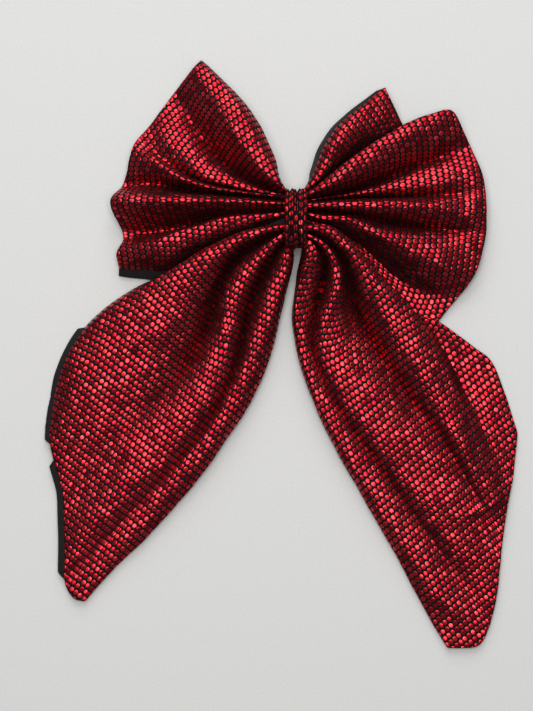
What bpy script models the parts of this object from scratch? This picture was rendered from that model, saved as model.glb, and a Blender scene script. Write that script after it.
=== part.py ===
"""Cheer hair bow: two pleated loops and two long tails, gathered at a wrapped knot and glued to a barrette.

It lies on its back: +Z is the face side, +Y runs towards the tops of the loops and -Y towards the tails' tips.
The origin is under the knot, on the flat underside of the barrette's locking arm.
"""

import math

import bmesh
import bpy
from mathutils import Matrix, Vector

MM = 0.001

# Knot
KNOT_CENTRE = (0.25, 0.2, 21.0)  # middle of the wrap band
KNOT_HALF_Y = 15.8  # outer half size of the band along Y
KNOT_HALF_Z = 9.6  # outer half size of the band along Z
WRAP_WIDTH = 12.5
WRAP_THICKNESS = 1.2
THREAD_RADIUS = 0.35
THREAD_TURNS = 3
FIT_GAP = 0.3  # between pieces that touch
CUT_MARGIN = 1.0  # how far a cutter stands out past what it cuts

# Cloth
FACE_THICKNESS = 0.9
LINING_THICKNESS = 0.9
LAYER_GAP = 0.4  # between a panel's face and its lining
LOWEST_FACE = 2.4  # lowest the face side comes, with the lining and the rest plane under it
ROWS = 13  # stations from the knot to the outer edge
COLUMNS = 25  # points across a panel

# Barrette
PLATE_LENGTH = 76.0
PLATE_WIDTH = 9.0
PLATE_THICKNESS = 0.9
PLATE_TOP = 9.6
ARM_THICKNESS = 1.2
ARM_END_X = 39.5
PIN_X = -36.0
PIN_Z = 2.0
PIN_RADIUS = 0.6
RUNNING_GAP = 0.08
EYE_RADIUS = 1.5
EYE_HALF_WIDTH = 3.5
EAR_THICKNESS = 0.7
EAR_HALF_LENGTH = 2.0
EAR_DROP = 1.5  # of the ears below the pin's axis
ARM_NECK_LENGTH = 3.0  # from the pin's axis to where the arm has its full width
WINDOW_LOW_X = 33.0
WINDOW_HIGH_X = 37.0
WINDOW_HALF_WIDTH = 3.2
CLASP_BASE_HALF_WIDTH = 1.0
CLASP_BASE_BOTTOM = 6.0
JAW_THICKNESS = 0.8
JAW_INNER_Y = 2.0
JAW_BOTTOM = 0.6
JAW_END_GAP = 0.4  # between a jaw and each end of the window
WING_REACH = 6.0  # of a jaw's wing, from the middle of the clasp
WING_BOTTOM = 3.8
WING_THICKNESS = 0.8
BAR_HALF_LENGTH = 31.5
BAR_WIDTH = 5.0
BAR_THICKNESS = 0.5
BAR_SAG = 1.1
RIVET_RADIUS = 0.8
RIVET_HEAD_RADIUS = 1.4
RIVET_HEAD_HEIGHT = 0.6
PIN_HEAD_HEIGHT = 0.5
BAR_RIVET_X = -29.0
CLASP_RIVET_X = 35.0
FELT_SIZE = (52.0, 9.0, 0.8)

# Guide lines of each panel, in order across it: each runs from the knot to the panel's outer edge, in mm.
# Ridges stand high and valleys lie low, and the first and the last line of a panel are its two long edges.
LEFT_LOOP = (
    ((-7.5, 16, 19), (-11, 33, 15), (-20, 53, 10), (-36, 73, 6), (-51, 87, 3)),
    ((-7.5, 15, 25), (-18, 27, 27), (-30, 41, 26), (-44, 63, 19), (-54, 82, 6)),
    ((-7.5, 14, 16), (-30, 22, 12), (-44, 38, 9), (-58, 60, 7), (-64, 70, 5)),
    ((-7.5, 13, 21), (-48, 22, 19), (-69, 39, 15), (-80, 50, 10)),
    ((-7.5, 12.4, 17), (-52, 19, 14), (-80, 38, 11), (-86, 43, 9)),
    ((-7.5, 11.5, 25), (-46, 16.5, 22), (-74, 29, 17), (-88, 38, 12)),
    ((-7.5, 10, 16), (-52, 13.5, 10), (-80, 18, 6), (-93, 20, 3)),
    ((-7.5, 7.5, 25), (-30, 9.5, 24), (-63, 9.5, 22), (-101, 8.5, 17)),
    ((-7.5, 5, 16), (-30, 2, 14.5), (-44, -1, 12), (-69, -5.5, 4), (-93, -8, 2.5)),
    ((-7.5, 4, 22), (-39, 0.5, 21), (-58, -5.5, 19), (-78, -12.5, 15), (-98, -20, 10)),
    ((-7.5, 2, 18), (-39, -4, 14), (-58, -14, 8), (-76, -25, 4), (-95, -31, 2.5)),
)
RIGHT_LOOP = (
    ((8, 16, 19), (9.5, 25, 15), (17, 43, 10), (30, 58, 6), (48, 71.5, 6)),
    ((8, 15.4, 23), (14, 27, 20), (21, 41, 17), (33, 52, 13), (51, 68, 8)),
    ((8, 14.8, 17), (24, 32, 10), (44, 47, 5), (57, 56, 3)),
    ((8, 13, 25), (22, 21.5, 26), (39, 34.5, 25), (55, 45, 23), (84, 61, 18)),
    ((8, 11, 16), (41, 19, 12), (60, 30, 11), (93, 42, 10)),
    ((8, 10.3, 19), (40, 15, 16), (85, 22, 17), (102, 24, 13)),
    ((8, 9.5, 16), (30, 11, 13), (58, 12, 12), (103, 15, 12)),
    ((8, 7, 25), (36, 7.7, 24), (58, 7.7, 22), (104, 4.5, 13)),
    ((8, 5, 16), (25, 3, 14.5), (41, 0, 12.5), (74, -4.5, 10), (104, -8, 10)),
    ((8, 4, 22), (25, 0, 22), (37, -4.5, 21), (55, -12.5, 20), (80, -23, 17), (101, -24, 12)),
    ((8, 3, 16.5), (19, -3, 14.5), (38, -14, 9), (55, -29, 5), (90, -38, 6)),
    ((8, 2, 16), (19, -4.5, 13.6), (38, -18, 6), (55, -34, 2.5), (77, -50, 2.5)),
)
LEFT_TAIL = (
    ((-8.5, -4, 17), (-40, -12.5, 15), (-74, -32, 8), (-103, -48, 5), (-128, -78, 3), (-137, -102, 2.4)),
    ((-8, -6, 23), (-38, -16, 22), (-72, -35, 19), (-96, -56, 15), (-119, -87, 11), (-134, -114, 6)),
    ((-7.8, -9, 15), (-33, -18, 11), (-44, -33, 9), (-58, -60, 8), (-91, -104, 8), (-131, -148, 3)),
    ((-7.6, -12, 22), (-30, -33, 18), (-39, -55, 16), (-40, -82, 13), (-78, -131, 10), (-130, -178, 4)),
    ((-7.2, -15, 14), (-18, -31, 10), (-27, -58, 8), (-31, -82, 7), (-62, -135, 6), (-127, -192, 3)),
    ((-5.5, -18, 19), (-8, -28, 17), (-16, -56, 14), (-26, -80, 11), (-55, -135, 8), (-122, -205, 2.4)),
    ((-2.5, -19.5, 13), (-4, -33, 8), (-8, -55, 5), (-15, -80, 3), (-36, -122, 2.4), (-80, -174, 2.4), (-113, -205, 2.4)),
)
RIGHT_TAIL = (
    ((9, -5, 15), (29, -16.5, 8), (51, -37, 4), (67, -53, 2.4), (98, -71, 3), (108, -78, 2.4), (123, -117, 2.4)),
    ((9, -7.5, 22), (28, -20, 21), (54, -45, 18), (68, -62, 15), (86, -85, 7), (97, -108, 6), (121, -135, 3)),
    ((8.6, -9.5, 20), (28, -24.5, 17), (49, -50, 14), (64, -78, 12), (80, -115, 9), (116, -160, 3)),
    ((8.4, -12, 13), (24, -28, 10), (34, -52, 8), (52, -82, 7), (80, -118, 7), (111, -203, 3)),
    ((8.2, -14.5, 21), (19, -29, 19), (22, -44, 16), (16, -66, 12), (24, -105, 9), (66, -170, 6), (102, -235, 2.4)),
    ((6.8, -17.5, 13), (13, -30, 10), (10, -52, 8), (10, -82, 6), (19, -110, 5), (58, -172, 4), (92, -235, 2.4)),
    ((3, -19, 17), (4.5, -29, 13), (1, -46, 7), (4, -80, 2.4), (14, -109, 2.4), (32, -144, 2.4), (83, -235, 2.4)),
)


def clear_scene():
    for obj in list(bpy.data.objects):
        bpy.data.objects.remove(obj)


def make_material(name, colour, roughness, metallic=0.0):
    made = bpy.data.materials.new(name)
    made.use_nodes = True
    shader = made.node_tree.nodes["Principled BSDF"]
    shader.inputs["Base Color"].default_value = (*colour, 1.0)
    shader.inputs["Roughness"].default_value = roughness
    shader.inputs["Metallic"].default_value = metallic
    return made


def add_mesh(name, bm, material, smooth=False):
    """Turns a bmesh drawn in mm into an object in metres."""
    bmesh.ops.recalc_face_normals(bm, faces=bm.faces)
    bm.transform(Matrix.Scale(MM, 4))
    mesh = bpy.data.meshes.new(name)
    bm.to_mesh(mesh)
    bm.free()
    mesh.materials.append(material)
    if smooth:
        mesh.shade_smooth()
        mesh.set_sharp_from_angle(angle=math.radians(40))
    obj = bpy.data.objects.new(name, mesh)
    bpy.context.scene.collection.objects.link(obj)
    return obj


def put_origin(obj, point):
    """Moves an object's origin to a point in mm, with its shape left where it is."""
    place = Vector(point) * MM
    obj.data.transform(Matrix.Translation(-place))
    obj.location = place


def box_mesh(low, high):
    bm = bmesh.new()
    size = Vector(high) - Vector(low)
    middle = (Vector(high) + Vector(low)) / 2
    bmesh.ops.create_cube(bm, size=1.0, matrix=Matrix.Translation(middle) @ Matrix.Diagonal((*size, 1.0)))
    return bm


def cylinder_mesh(radius, start, end, sides=24):
    """A closed cylinder between two points in mm."""
    bm = bmesh.new()
    axis = Vector(end) - Vector(start)
    turn = axis.to_track_quat("Z", "Y").to_matrix().to_4x4()
    middle = (Vector(start) + Vector(end)) / 2
    bmesh.ops.create_cone(
        bm,
        cap_ends=True,
        segments=sides,
        radius1=radius,
        radius2=radius,
        depth=axis.length,
        matrix=Matrix.Translation(middle) @ turn,
    )
    return bm


def boolean(obj, operation, cutter_mesh):
    """Joins a mesh in mm to an object, or cuts it away, with a hidden helper object."""
    helper = add_mesh(f"{obj.name}_{operation.lower()}", cutter_mesh, obj.data.materials[0])
    helper.hide_render = True
    helper.display_type = "WIRE"
    modifier = obj.modifiers.new(operation.title(), "BOOLEAN")
    modifier.operation = operation
    modifier.solver = "EXACT"
    modifier.object = helper


def smooth_line(points, stations):
    """A curve through the points, read at the given shares of its length."""
    knots = [Vector(p) for p in points]
    padded = [2 * knots[0] - knots[1], *knots, 2 * knots[-1] - knots[-2]]
    steps = 12
    fine = []
    for i in range(1, len(padded) - 2):
        before, here, after, beyond = padded[i - 1 : i + 3]
        for k in range(steps):
            t = k / steps
            slope_here = (after - before) / 2
            slope_after = (beyond - here) / 2
            fine.append(
                here * (2 * t**3 - 3 * t**2 + 1)
                + slope_here * (t**3 - 2 * t**2 + t)
                + after * (3 * t**2 - 2 * t**3)
                + slope_after * (t**3 - t**2)
            )
    fine.append(knots[-1])
    lengths = [0.0]
    for a, b in zip(fine, fine[1:]):
        lengths.append(lengths[-1] + (b - a).length)
    found = []
    for share in stations:
        target = share * lengths[-1]
        i = max(k for k in range(len(fine) - 1) if lengths[k] <= target + 1e-9)
        rest = (target - lengths[i]) / (lengths[i + 1] - lengths[i])
        found.append(fine[i].lerp(fine[i + 1], rest))
    return found


def across(points, count):
    """Points across a panel: each fold between two guide lines is a half wave, steepest midway."""
    spans = len(points) - 1
    found = []
    for k in range(count):
        place = spans * k / (count - 1)
        i = min(int(place), spans - 1)
        t = place - i
        a, b = points[i], points[i + 1]
        wave = t * t * (3 - 2 * t)
        found.append(Vector((a.x + (b.x - a.x) * t, a.y + (b.y - a.y) * t, a.z + (b.z - a.z) * wave)))
    return found


def panel_grid(guides):
    """Rows of points over a panel, from the knot outwards."""
    stations = [k / (ROWS - 1) for k in range(ROWS)]
    lines = [smooth_line(guide, stations) for guide in guides]
    rows = [across([line[k] for line in lines], COLUMNS) for k in range(ROWS)]
    for row in rows:
        for point in row:
            point.z = max(point.z, LOWEST_FACE)
    return rows


def cloth_layer(name, rows, depth, thickness, material):
    """One closed layer of cloth whose upper side lies a given depth under the panel's points."""
    bm = bmesh.new()
    upper = [[bm.verts.new(p - Vector((0, 0, depth))) for p in row] for row in rows]
    lower = [[bm.verts.new(p - Vector((0, 0, depth + thickness))) for p in row] for row in rows]
    last_row = len(rows) - 1
    last_column = len(rows[0]) - 1
    for i in range(last_row):
        for j in range(last_column):
            bm.faces.new((upper[i][j], upper[i + 1][j], upper[i + 1][j + 1], upper[i][j + 1]))
            bm.faces.new((lower[i][j], lower[i][j + 1], lower[i + 1][j + 1], lower[i + 1][j]))
    for i in range(last_row):
        for j in (0, last_column):
            bm.faces.new((upper[i][j], upper[i + 1][j], lower[i + 1][j], lower[i][j]))
    for j in range(last_column):
        for i in (0, last_row):
            bm.faces.new((upper[i][j], upper[i][j + 1], lower[i][j + 1], lower[i][j]))
    return add_mesh(name, bm, material, smooth=True)


def make_panel(name, guides, face_material, lining_material, hinge=None):
    """A sewn panel: the face and, just under it, the lining. A hinge is the point that both turn about."""
    rows = panel_grid(guides)
    face = cloth_layer(f"{name}_face", rows, 0.0, FACE_THICKNESS, face_material)
    lining_depth = FACE_THICKNESS + LAYER_GAP
    lining = cloth_layer(f"{name}_lining", rows, lining_depth, LINING_THICKNESS, lining_material)
    if hinge:
        put_origin(face, hinge)
        put_origin(lining, hinge)


def ellipse_ring(half_y, half_z, sides):
    _, y, z = KNOT_CENTRE
    turns = [2 * math.pi * k / sides for k in range(sides)]
    return [(y + half_y * math.cos(a), z + half_z * math.sin(a)) for a in turns]


def make_wrap(material):
    """The centre band: a flattened ring round the gathered cloth."""
    sides = 40
    low_x = KNOT_CENTRE[0] - WRAP_WIDTH / 2
    high_x = KNOT_CENTRE[0] + WRAP_WIDTH / 2
    outer = ellipse_ring(KNOT_HALF_Y, KNOT_HALF_Z, sides)
    inner = ellipse_ring(KNOT_HALF_Y - WRAP_THICKNESS, KNOT_HALF_Z - WRAP_THICKNESS, sides)
    bm = bmesh.new()
    section = ((low_x, outer), (high_x, outer), (high_x, inner), (low_x, inner))
    rings = [[bm.verts.new((x, y, z)) for y, z in ring] for x, ring in section]
    for ring, following in zip(rings, rings[1:] + rings[:1]):
        for k in range(sides):
            after = (k + 1) % sides
            bm.faces.new((ring[k], ring[after], following[after], following[k]))
    add_mesh("centre_wrap", bm, material, smooth=True)


def make_core(name, low_turn, high_turn, material):
    """Half of the gathered cloth inside the wrap, with a groove between each two pleats."""
    pleats = 5
    steps = 20
    reach_y = KNOT_HALF_Y - WRAP_THICKNESS - 2 * THREAD_RADIUS - 2 * FIT_GAP
    reach_z = KNOT_HALF_Z - WRAP_THICKNESS - 2 * THREAD_RADIUS - 2 * FIT_GAP
    groove = 0.12
    _, middle_y, middle_z = KNOT_CENTRE
    outline = []
    for k in range(steps + 1):
        share = k / steps
        turn = low_turn + (high_turn - low_turn) * share
        size = 1 - groove * (0.5 - 0.5 * math.cos(2 * math.pi * pleats * share))
        outline.append((middle_y + reach_y * size * math.cos(turn), middle_z + reach_z * size * math.sin(turn)))
    side = math.copysign(FIT_GAP / 2, math.cos((low_turn + high_turn) / 2))
    outline = [(y + side, z) for y, z in outline]
    bm = bmesh.new()
    half = WRAP_WIDTH / 2 + FIT_GAP
    ends = [[bm.verts.new((KNOT_CENTRE[0] + x, y, z)) for y, z in outline] for x in (-half, half)]
    for points in ends:
        bm.faces.new(points)
    count = len(outline)
    for k in range(count):
        after = (k + 1) % count
        bm.faces.new((ends[0][k], ends[0][after], ends[1][after], ends[1][k]))
    add_mesh(name, bm, material)


def make_thread(material):
    """The gathering thread: turns wound tightly round the pleats, under the wrap."""
    points_per_turn = 20
    pitch = 2.4 * THREAD_RADIUS
    reach_y = KNOT_HALF_Y - WRAP_THICKNESS - FIT_GAP - THREAD_RADIUS
    reach_z = KNOT_HALF_Z - WRAP_THICKNESS - FIT_GAP - THREAD_RADIUS
    curve = bpy.data.curves.new("gathering_thread", "CURVE")
    curve.dimensions = "3D"
    curve.bevel_depth = THREAD_RADIUS * MM
    curve.bevel_resolution = 1
    curve.use_fill_caps = True
    count = THREAD_TURNS * points_per_turn + 1
    spline = curve.splines.new("POLY")
    spline.points.add(count - 1)
    for k, point in enumerate(spline.points):
        turn = 2 * math.pi * k / points_per_turn
        x = KNOT_CENTRE[0] + pitch * (k / points_per_turn - THREAD_TURNS / 2)
        y = KNOT_CENTRE[1] + reach_y * math.cos(turn)
        z = KNOT_CENTRE[2] + reach_z * math.sin(turn)
        point.co = (x * MM, y * MM, z * MM, 1)
    curve.materials.append(material)
    obj = bpy.data.objects.new("gathering_thread", curve)
    bpy.context.scene.collection.objects.link(obj)


def make_felt(material):
    length, width, thickness = FELT_SIZE
    low = (-length / 2, -width / 2, PLATE_TOP + FIT_GAP)
    high = (length / 2, width / 2, PLATE_TOP + FIT_GAP + thickness)
    add_mesh("backing_felt", box_mesh(low, high), material)


def make_plate(material):
    """The barrette's spine: a strip with two ears down to the hinge pin and a hole for each rivet."""
    half_length = PLATE_LENGTH / 2
    half_width = PLATE_WIDTH / 2
    bottom = PLATE_TOP - PLATE_THICKNESS
    strip = box_mesh((-half_length, -half_width, bottom), (half_length, half_width, PLATE_TOP))
    plate = add_mesh("barrette_top_plate", strip, material)
    for side in (-1, 1):
        inner = side * (half_width - EAR_THICKNESS)
        outer = side * half_width
        low = (PIN_X - EAR_HALF_LENGTH, min(inner, outer), PIN_Z - EAR_DROP)
        high = (PIN_X + EAR_HALF_LENGTH, max(inner, outer), bottom + PLATE_THICKNESS / 2)
        boolean(plate, "UNION", box_mesh(low, high))
    reach = half_width + CUT_MARGIN
    pin_hole = cylinder_mesh(PIN_RADIUS + RUNNING_GAP, (PIN_X, -reach, PIN_Z), (PIN_X, reach, PIN_Z))
    boolean(plate, "DIFFERENCE", pin_hole)
    for x in (BAR_RIVET_X, CLASP_RIVET_X):
        low = (x, 0, bottom - CUT_MARGIN)
        high = (x, 0, PLATE_TOP + CUT_MARGIN)
        hole = cylinder_mesh(RIVET_RADIUS + RUNNING_GAP, low, high)
        boolean(plate, "DIFFERENCE", hole)


def make_hinge_pin(material):
    reach = PLATE_WIDTH / 2 + FIT_GAP
    middle = reach + PIN_HEAD_HEIGHT / 2
    shank = cylinder_mesh(PIN_RADIUS, (PIN_X, -middle, PIN_Z), (PIN_X, middle, PIN_Z))
    pin = add_mesh("barrette_hinge_pin", shank, material, smooth=True)
    for side in (-1, 1):
        start = (PIN_X, side * reach, PIN_Z)
        end = (PIN_X, side * (reach + PIN_HEAD_HEIGHT), PIN_Z)
        boolean(pin, "UNION", cylinder_mesh(2 * PIN_RADIUS, start, end))


def make_arm(material):
    """The locking arm: a flat strip with a rolled eye on the pin and a window for the clasp's jaws."""
    half_width = PLATE_WIDTH / 2
    neck = box_mesh((PIN_X, -EYE_HALF_WIDTH, 0), (PIN_X + 2 * ARM_NECK_LENGTH, EYE_HALF_WIDTH, ARM_THICKNESS))
    arm = add_mesh("barrette_arm", neck, material)
    strip = box_mesh((PIN_X + ARM_NECK_LENGTH, -half_width, 0), (ARM_END_X, half_width, ARM_THICKNESS))
    boolean(arm, "UNION", strip)
    eye = cylinder_mesh(EYE_RADIUS, (PIN_X, -EYE_HALF_WIDTH, PIN_Z), (PIN_X, EYE_HALF_WIDTH, PIN_Z))
    boolean(arm, "UNION", eye)
    bore_reach = EYE_HALF_WIDTH + CUT_MARGIN
    bore = cylinder_mesh(PIN_RADIUS + RUNNING_GAP, (PIN_X, -bore_reach, PIN_Z), (PIN_X, bore_reach, PIN_Z))
    boolean(arm, "DIFFERENCE", bore)
    low = (WINDOW_LOW_X, -WINDOW_HALF_WIDTH, -CUT_MARGIN)
    high = (WINDOW_HIGH_X, WINDOW_HALF_WIDTH, ARM_THICKNESS + CUT_MARGIN)
    boolean(arm, "DIFFERENCE", box_mesh(low, high))


def make_tension_bar(material):
    """The bowed spring strip that presses the hair on the arm, riveted at its hinge end."""
    steps = 16
    top_end = PLATE_TOP - PLATE_THICKNESS - FIT_GAP
    bm = bmesh.new()
    sections = []
    for k in range(steps + 1):
        share = 2 * k / steps - 1
        top = top_end - BAR_SAG * (1 - share * share)
        x = BAR_HALF_LENGTH * share
        half = BAR_WIDTH / 2
        corners = ((-half, top - BAR_THICKNESS), (half, top - BAR_THICKNESS), (half, top), (-half, top))
        sections.append([bm.verts.new((x, y, z)) for y, z in corners])
    bm.faces.new(sections[0])
    bm.faces.new(sections[-1])
    for section, following in zip(sections, sections[1:]):
        for k in range(4):
            after = (k + 1) % 4
            bm.faces.new((section[k], section[after], following[after], following[k]))
    bar = add_mesh("barrette_tension_bar", bm, material)
    low = (BAR_RIVET_X, 0, top_end - BAR_SAG - BAR_THICKNESS - CUT_MARGIN)
    high = (BAR_RIVET_X, 0, top_end + CUT_MARGIN)
    hole = cylinder_mesh(RIVET_RADIUS + RUNNING_GAP, low, high)
    boolean(bar, "DIFFERENCE", hole)


def make_rivet(name, x, low_head_top, material):
    """A rivet down through the plate, with a head at each end."""
    head = RIVET_HEAD_HEIGHT
    top = PLATE_TOP + FIT_GAP
    shank = cylinder_mesh(RIVET_RADIUS, (x, 0, low_head_top - head / 2), (x, 0, top + head / 2))
    rivet = add_mesh(name, shank, material, smooth=True)
    boolean(rivet, "UNION", cylinder_mesh(RIVET_HEAD_RADIUS, (x, 0, top), (x, 0, top + head)))
    boolean(rivet, "UNION", cylinder_mesh(RIVET_HEAD_RADIUS, (x, 0, low_head_top - head), (x, 0, low_head_top)))


def make_clasp_base(material):
    """The block under the plate that the two jaws stand on either side of."""
    top = PLATE_TOP - PLATE_THICKNESS - FIT_GAP
    low = (WINDOW_LOW_X, -CLASP_BASE_HALF_WIDTH, CLASP_BASE_BOTTOM)
    high = (WINDOW_HIGH_X, CLASP_BASE_HALF_WIDTH, top)
    base = add_mesh("barrette_clasp_base", box_mesh(low, high), material)
    hole_low = (CLASP_RIVET_X, 0, CLASP_BASE_BOTTOM - CUT_MARGIN)
    hole_high = (CLASP_RIVET_X, 0, top + CUT_MARGIN)
    boolean(base, "DIFFERENCE", cylinder_mesh(RIVET_RADIUS + RUNNING_GAP, hole_low, hole_high))


def make_jaw(name, side, material):
    """One spring jaw: a tab down into the arm's window, with a wing to squeeze it by."""
    low_x = WINDOW_LOW_X + JAW_END_GAP
    high_x = WINDOW_HIGH_X - JAW_END_GAP
    top = PLATE_TOP - PLATE_THICKNESS - FIT_GAP
    inner = side * JAW_INNER_Y
    outer = side * (JAW_INNER_Y + JAW_THICKNESS)
    root = (inner + outer) / 2
    tip = side * WING_REACH
    tab = box_mesh((low_x, min(inner, outer), JAW_BOTTOM), (high_x, max(inner, outer), top))
    jaw = add_mesh(name, tab, material)
    wing_low = (low_x, min(root, tip), WING_BOTTOM)
    wing_high = (high_x, max(root, tip), WING_BOTTOM + WING_THICKNESS)
    boolean(jaw, "UNION", box_mesh(wing_low, wing_high))


def main():
    clear_scene()
    foil_cloth = make_material("foil_dot_cloth", (0.42, 0.012, 0.03), 0.35, 0.6)
    black_cloth = make_material("black_lining", (0.012, 0.011, 0.013), 0.85)
    thread = make_material("black_thread", (0.02, 0.02, 0.02), 0.7)
    felt = make_material("black_felt", (0.015, 0.015, 0.016), 0.95)
    steel = make_material("barrette_steel", (0.62, 0.62, 0.64), 0.3, 1.0)
    tail_hinge = (0.0, 0.0, KNOT_CENTRE[2])
    make_panel("left_loop", LEFT_LOOP, foil_cloth, black_cloth)
    make_panel("right_loop", RIGHT_LOOP, foil_cloth, black_cloth)
    make_panel("left_tail", LEFT_TAIL, foil_cloth, black_cloth, tail_hinge)
    make_panel("right_tail", RIGHT_TAIL, foil_cloth, black_cloth, tail_hinge)
    make_wrap(foil_cloth)
    make_core("loop_gathered_core", -math.pi / 2, math.pi / 2, foil_cloth)
    make_core("tail_gathered_core", math.pi / 2, 3 * math.pi / 2, foil_cloth)
    make_thread(thread)
    make_felt(felt)
    make_plate(steel)
    make_hinge_pin(steel)
    make_arm(steel)
    make_tension_bar(steel)
    bar_end_drop = BAR_SAG * (1 - (BAR_RIVET_X / BAR_HALF_LENGTH) ** 2)
    bar_underside = PLATE_TOP - PLATE_THICKNESS - FIT_GAP - bar_end_drop - BAR_THICKNESS
    make_rivet("tension_bar_rivet", BAR_RIVET_X, bar_underside - FIT_GAP, steel)
    make_rivet("clasp_rivet", CLASP_RIVET_X, CLASP_BASE_BOTTOM - FIT_GAP, steel)
    make_clasp_base(steel)
    make_jaw("clasp_jaw_front", -1, steel)
    make_jaw("clasp_jaw_back", 1, steel)


main()
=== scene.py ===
"""Looks of the cheer hair bow: pleated foil-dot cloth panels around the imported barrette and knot.

Lengths are in millimetres where no other unit is given, and places are in the frame's axes. Each panel is
lofted over its guide lines, from the knot to its outer edge, and then thickened, with a turned edge. Cloth
coordinates follow the folds, so that the foil dots keep their size and the spare cloth is taken up in the
valleys, as in real pleats.
"""

import math

import bmesh
import bpy
import numpy as np
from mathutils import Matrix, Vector, noise


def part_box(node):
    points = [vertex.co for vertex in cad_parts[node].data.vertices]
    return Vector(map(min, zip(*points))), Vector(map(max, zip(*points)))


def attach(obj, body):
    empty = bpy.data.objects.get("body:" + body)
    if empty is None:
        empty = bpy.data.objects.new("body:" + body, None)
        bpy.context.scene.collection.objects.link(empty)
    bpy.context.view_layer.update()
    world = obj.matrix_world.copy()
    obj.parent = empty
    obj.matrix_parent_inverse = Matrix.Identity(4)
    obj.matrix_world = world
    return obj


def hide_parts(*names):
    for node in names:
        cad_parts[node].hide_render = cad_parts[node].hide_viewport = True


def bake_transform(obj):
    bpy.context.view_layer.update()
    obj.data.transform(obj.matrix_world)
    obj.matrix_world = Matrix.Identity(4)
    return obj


MM = 0.001

# Camera, lights and floor
CAMERA_AIM = (-15.7, -74.5)
CAMERA_HEIGHT = 1500.0
FRAME_LENGTH = 391.0  # what the frame's long side spans at table level
CLIP_RANGE = (0.1, 10)  # m
LIGHTS = (  # name, side in m, watts, place in m, colour
    ("ceiling", 0.85, 21, (-0.05, 0.1, 1.6), (1.0, 0.98, 0.96)),
    ("window", 1.6, 44, (-0.1, 1.8, 1.2), (0.98, 0.99, 1.0)),
)
ROOM_COLOUR = (0.92, 0.95, 1.0, 1)
ROOM_STRENGTH = 0.2
FLOOR_Z = -0.3
FLOOR_SIDE = 6.0  # m

# Cloth panels
FACE_THICKNESS = 0.35
LINING_THICKNESS = 0.45
LINING_DEPTH = 1.05  # from the face's upper side down to the lining's
LOWEST_LINING = 0.9
EDGE_ROLL = 0.75  # radius of the face's turned edge
EDGE_TURN = 110  # degrees that it turns by
LINING_ROLL = 0.35
LINING_TURN = 60
TURN_STEPS = 4  # round a turned edge
ROW_STEP = 1.1  # of a panel's grid, along the folds
COLUMN_STEP = 0.9  # and across them
LEAST_COLUMNS = 5  # between two guide lines
SPAN_STEPS = 24  # between two points of a guide line, to draw its curve
RELAX_PASSES = 6
OUTER_EDGE_PASSES = 40
OUTER_EDGE_FROM = 0.85  # share of a panel's length where those passes begin to round it
WIDER_ROWS = (1.0, 0.7, 0.4)  # how much the outermost rows move out where the lining shows
WIDER_TAPER = 8  # the higher, the shorter the ends of such a strip

# Folds
CREST_POWER = 3.8  # near the knot: the higher, the broader the crests and the steeper the valleys
RELAXED_SHARE = 0.4  # how far the folds turn into plain waves by the outer edge
EDGE_SLOPE = 1.5  # how steeply a fold leaves an edge, against its mean slope
VALLEY_SLOPE = 1.6  # and how steeply it leaves a valley near the knot
VALLEY_SLOPE_LOSS = 1.4  # which is this much less by the outer edge
VALLEY_FADE = (0.6, 0.95)  # shares of a valley's length between which its bottom begins to be rounded
SHARP_SHARE = 0.75  # of a valley's length from the knot, where its bottom is creased
SWALLOW_FROM = 0.55  # share of the way down a fold where spare cloth starts to be taken up
COVERED_ROWS = 85  # percent of a fold's rows that its flat cloth is wide enough for
GRAIN_FADE = (0.3, 0.7)  # shares of a panel's length between which the grain takes its own direction
RIPPLE_DEPTH = 0.42
RIPPLE_WAVES = ((19, 7.5, 1.0, 0), (8, 4.2, 0.45, 9))  # length, width, share of the depth, seed step
CREASE_FADE = 1.5  # how fast a crease ends
CREASE_END = 1.5  # half lengths from its middle, past which it fades no further

# Foil dots
DOT_PITCH = 2.85  # between dots in a row, across the folds
DOT_ROW_GAP = 3.5  # between rows, along the folds
WRAP_DOT_PITCH = 4.0  # the centre wrap's cloth is stretched round the knot
WRAP_ROW_GAP = 3.3
DOT_SIZE = (1.34, 1.15)  # half a dot's height along the folds and half its width across them
DOT_EDGE = (0.92, 1.04)  # shares of that size between which foil gives way to knit
DOT_CURVE = (0.2, 1.0)  # and between which its dome begins to slope
PAINTED_SHADE_MIDDLE = (0.0, 0.75)  # and between which its painted shade in the middle fades, standing in for a domed dot's dimmer reflection there
DOT_DOME = 0.26  # slope for each mm from its middle
DOT_TILT = 0.26  # spread of the slopes of whole dots
DOT_SEED = (0.37, 0.61, 0.0)

# Centre wrap. Waves are (count round the ring, start, height).
WRAP_GRID = (200, 72)  # points round it and across it
WRAP_REPEATS = 20  # dots round it
WRAP_THICKNESS = 0.5  # and of the pleats inside it
WRAP_LOWER_BULGE = 1.2  # how far the band hangs past its CAD shape, towards the tails
WRAP_INSET = 1.85  # how far the bottoms of its folds are inside that shape
WRAP_FOLDS = 3
WRAP_FOLD_HEIGHT = 1.9
WRAP_FOLD_SHIFT = 0.12  # sideways, as a share of half its width
WRAP_FINE_FOLDS = 6.4
WRAP_FINE_FOLD_HEIGHT = 0.35
WRAP_WANDER = ((2, 0.6, 0.10), (5, 2.0, 0.06))  # of the folds, sideways, heights as such shares
WRAP_PINCH = ((3, 1.0, 0.4),)  # at its edges
WRAP_EDGE_FROM = 0.84  # share of half its width where its edges begin to turn in
WRAP_EDGE_DROP = 1.9
WRAP_EDGE_INSET = 0.04  # share of half its width
WRAP_SLACK = 1.25  # width of its dot pattern against its width

# Pleat bundles inside the wrap, their sizes in shares of their CAD shapes
CORE_GRID = (160, 24)
CORE_SIZE = 0.86
CORE_PLEATS = 9
CORE_PLEAT_HEIGHT = 0.10
CORE_TWIST = 0.8  # radians of a pleat's wave, from the middle to an end
CORE_FINE_PLEATS = 17
CORE_FINE_PLEAT_HEIGHT = 0.05
CORE_FINE_PLEAT_START = 2
CORE_END_FROM = 0.97
CORE_END_CLOSING = 0.98

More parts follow.
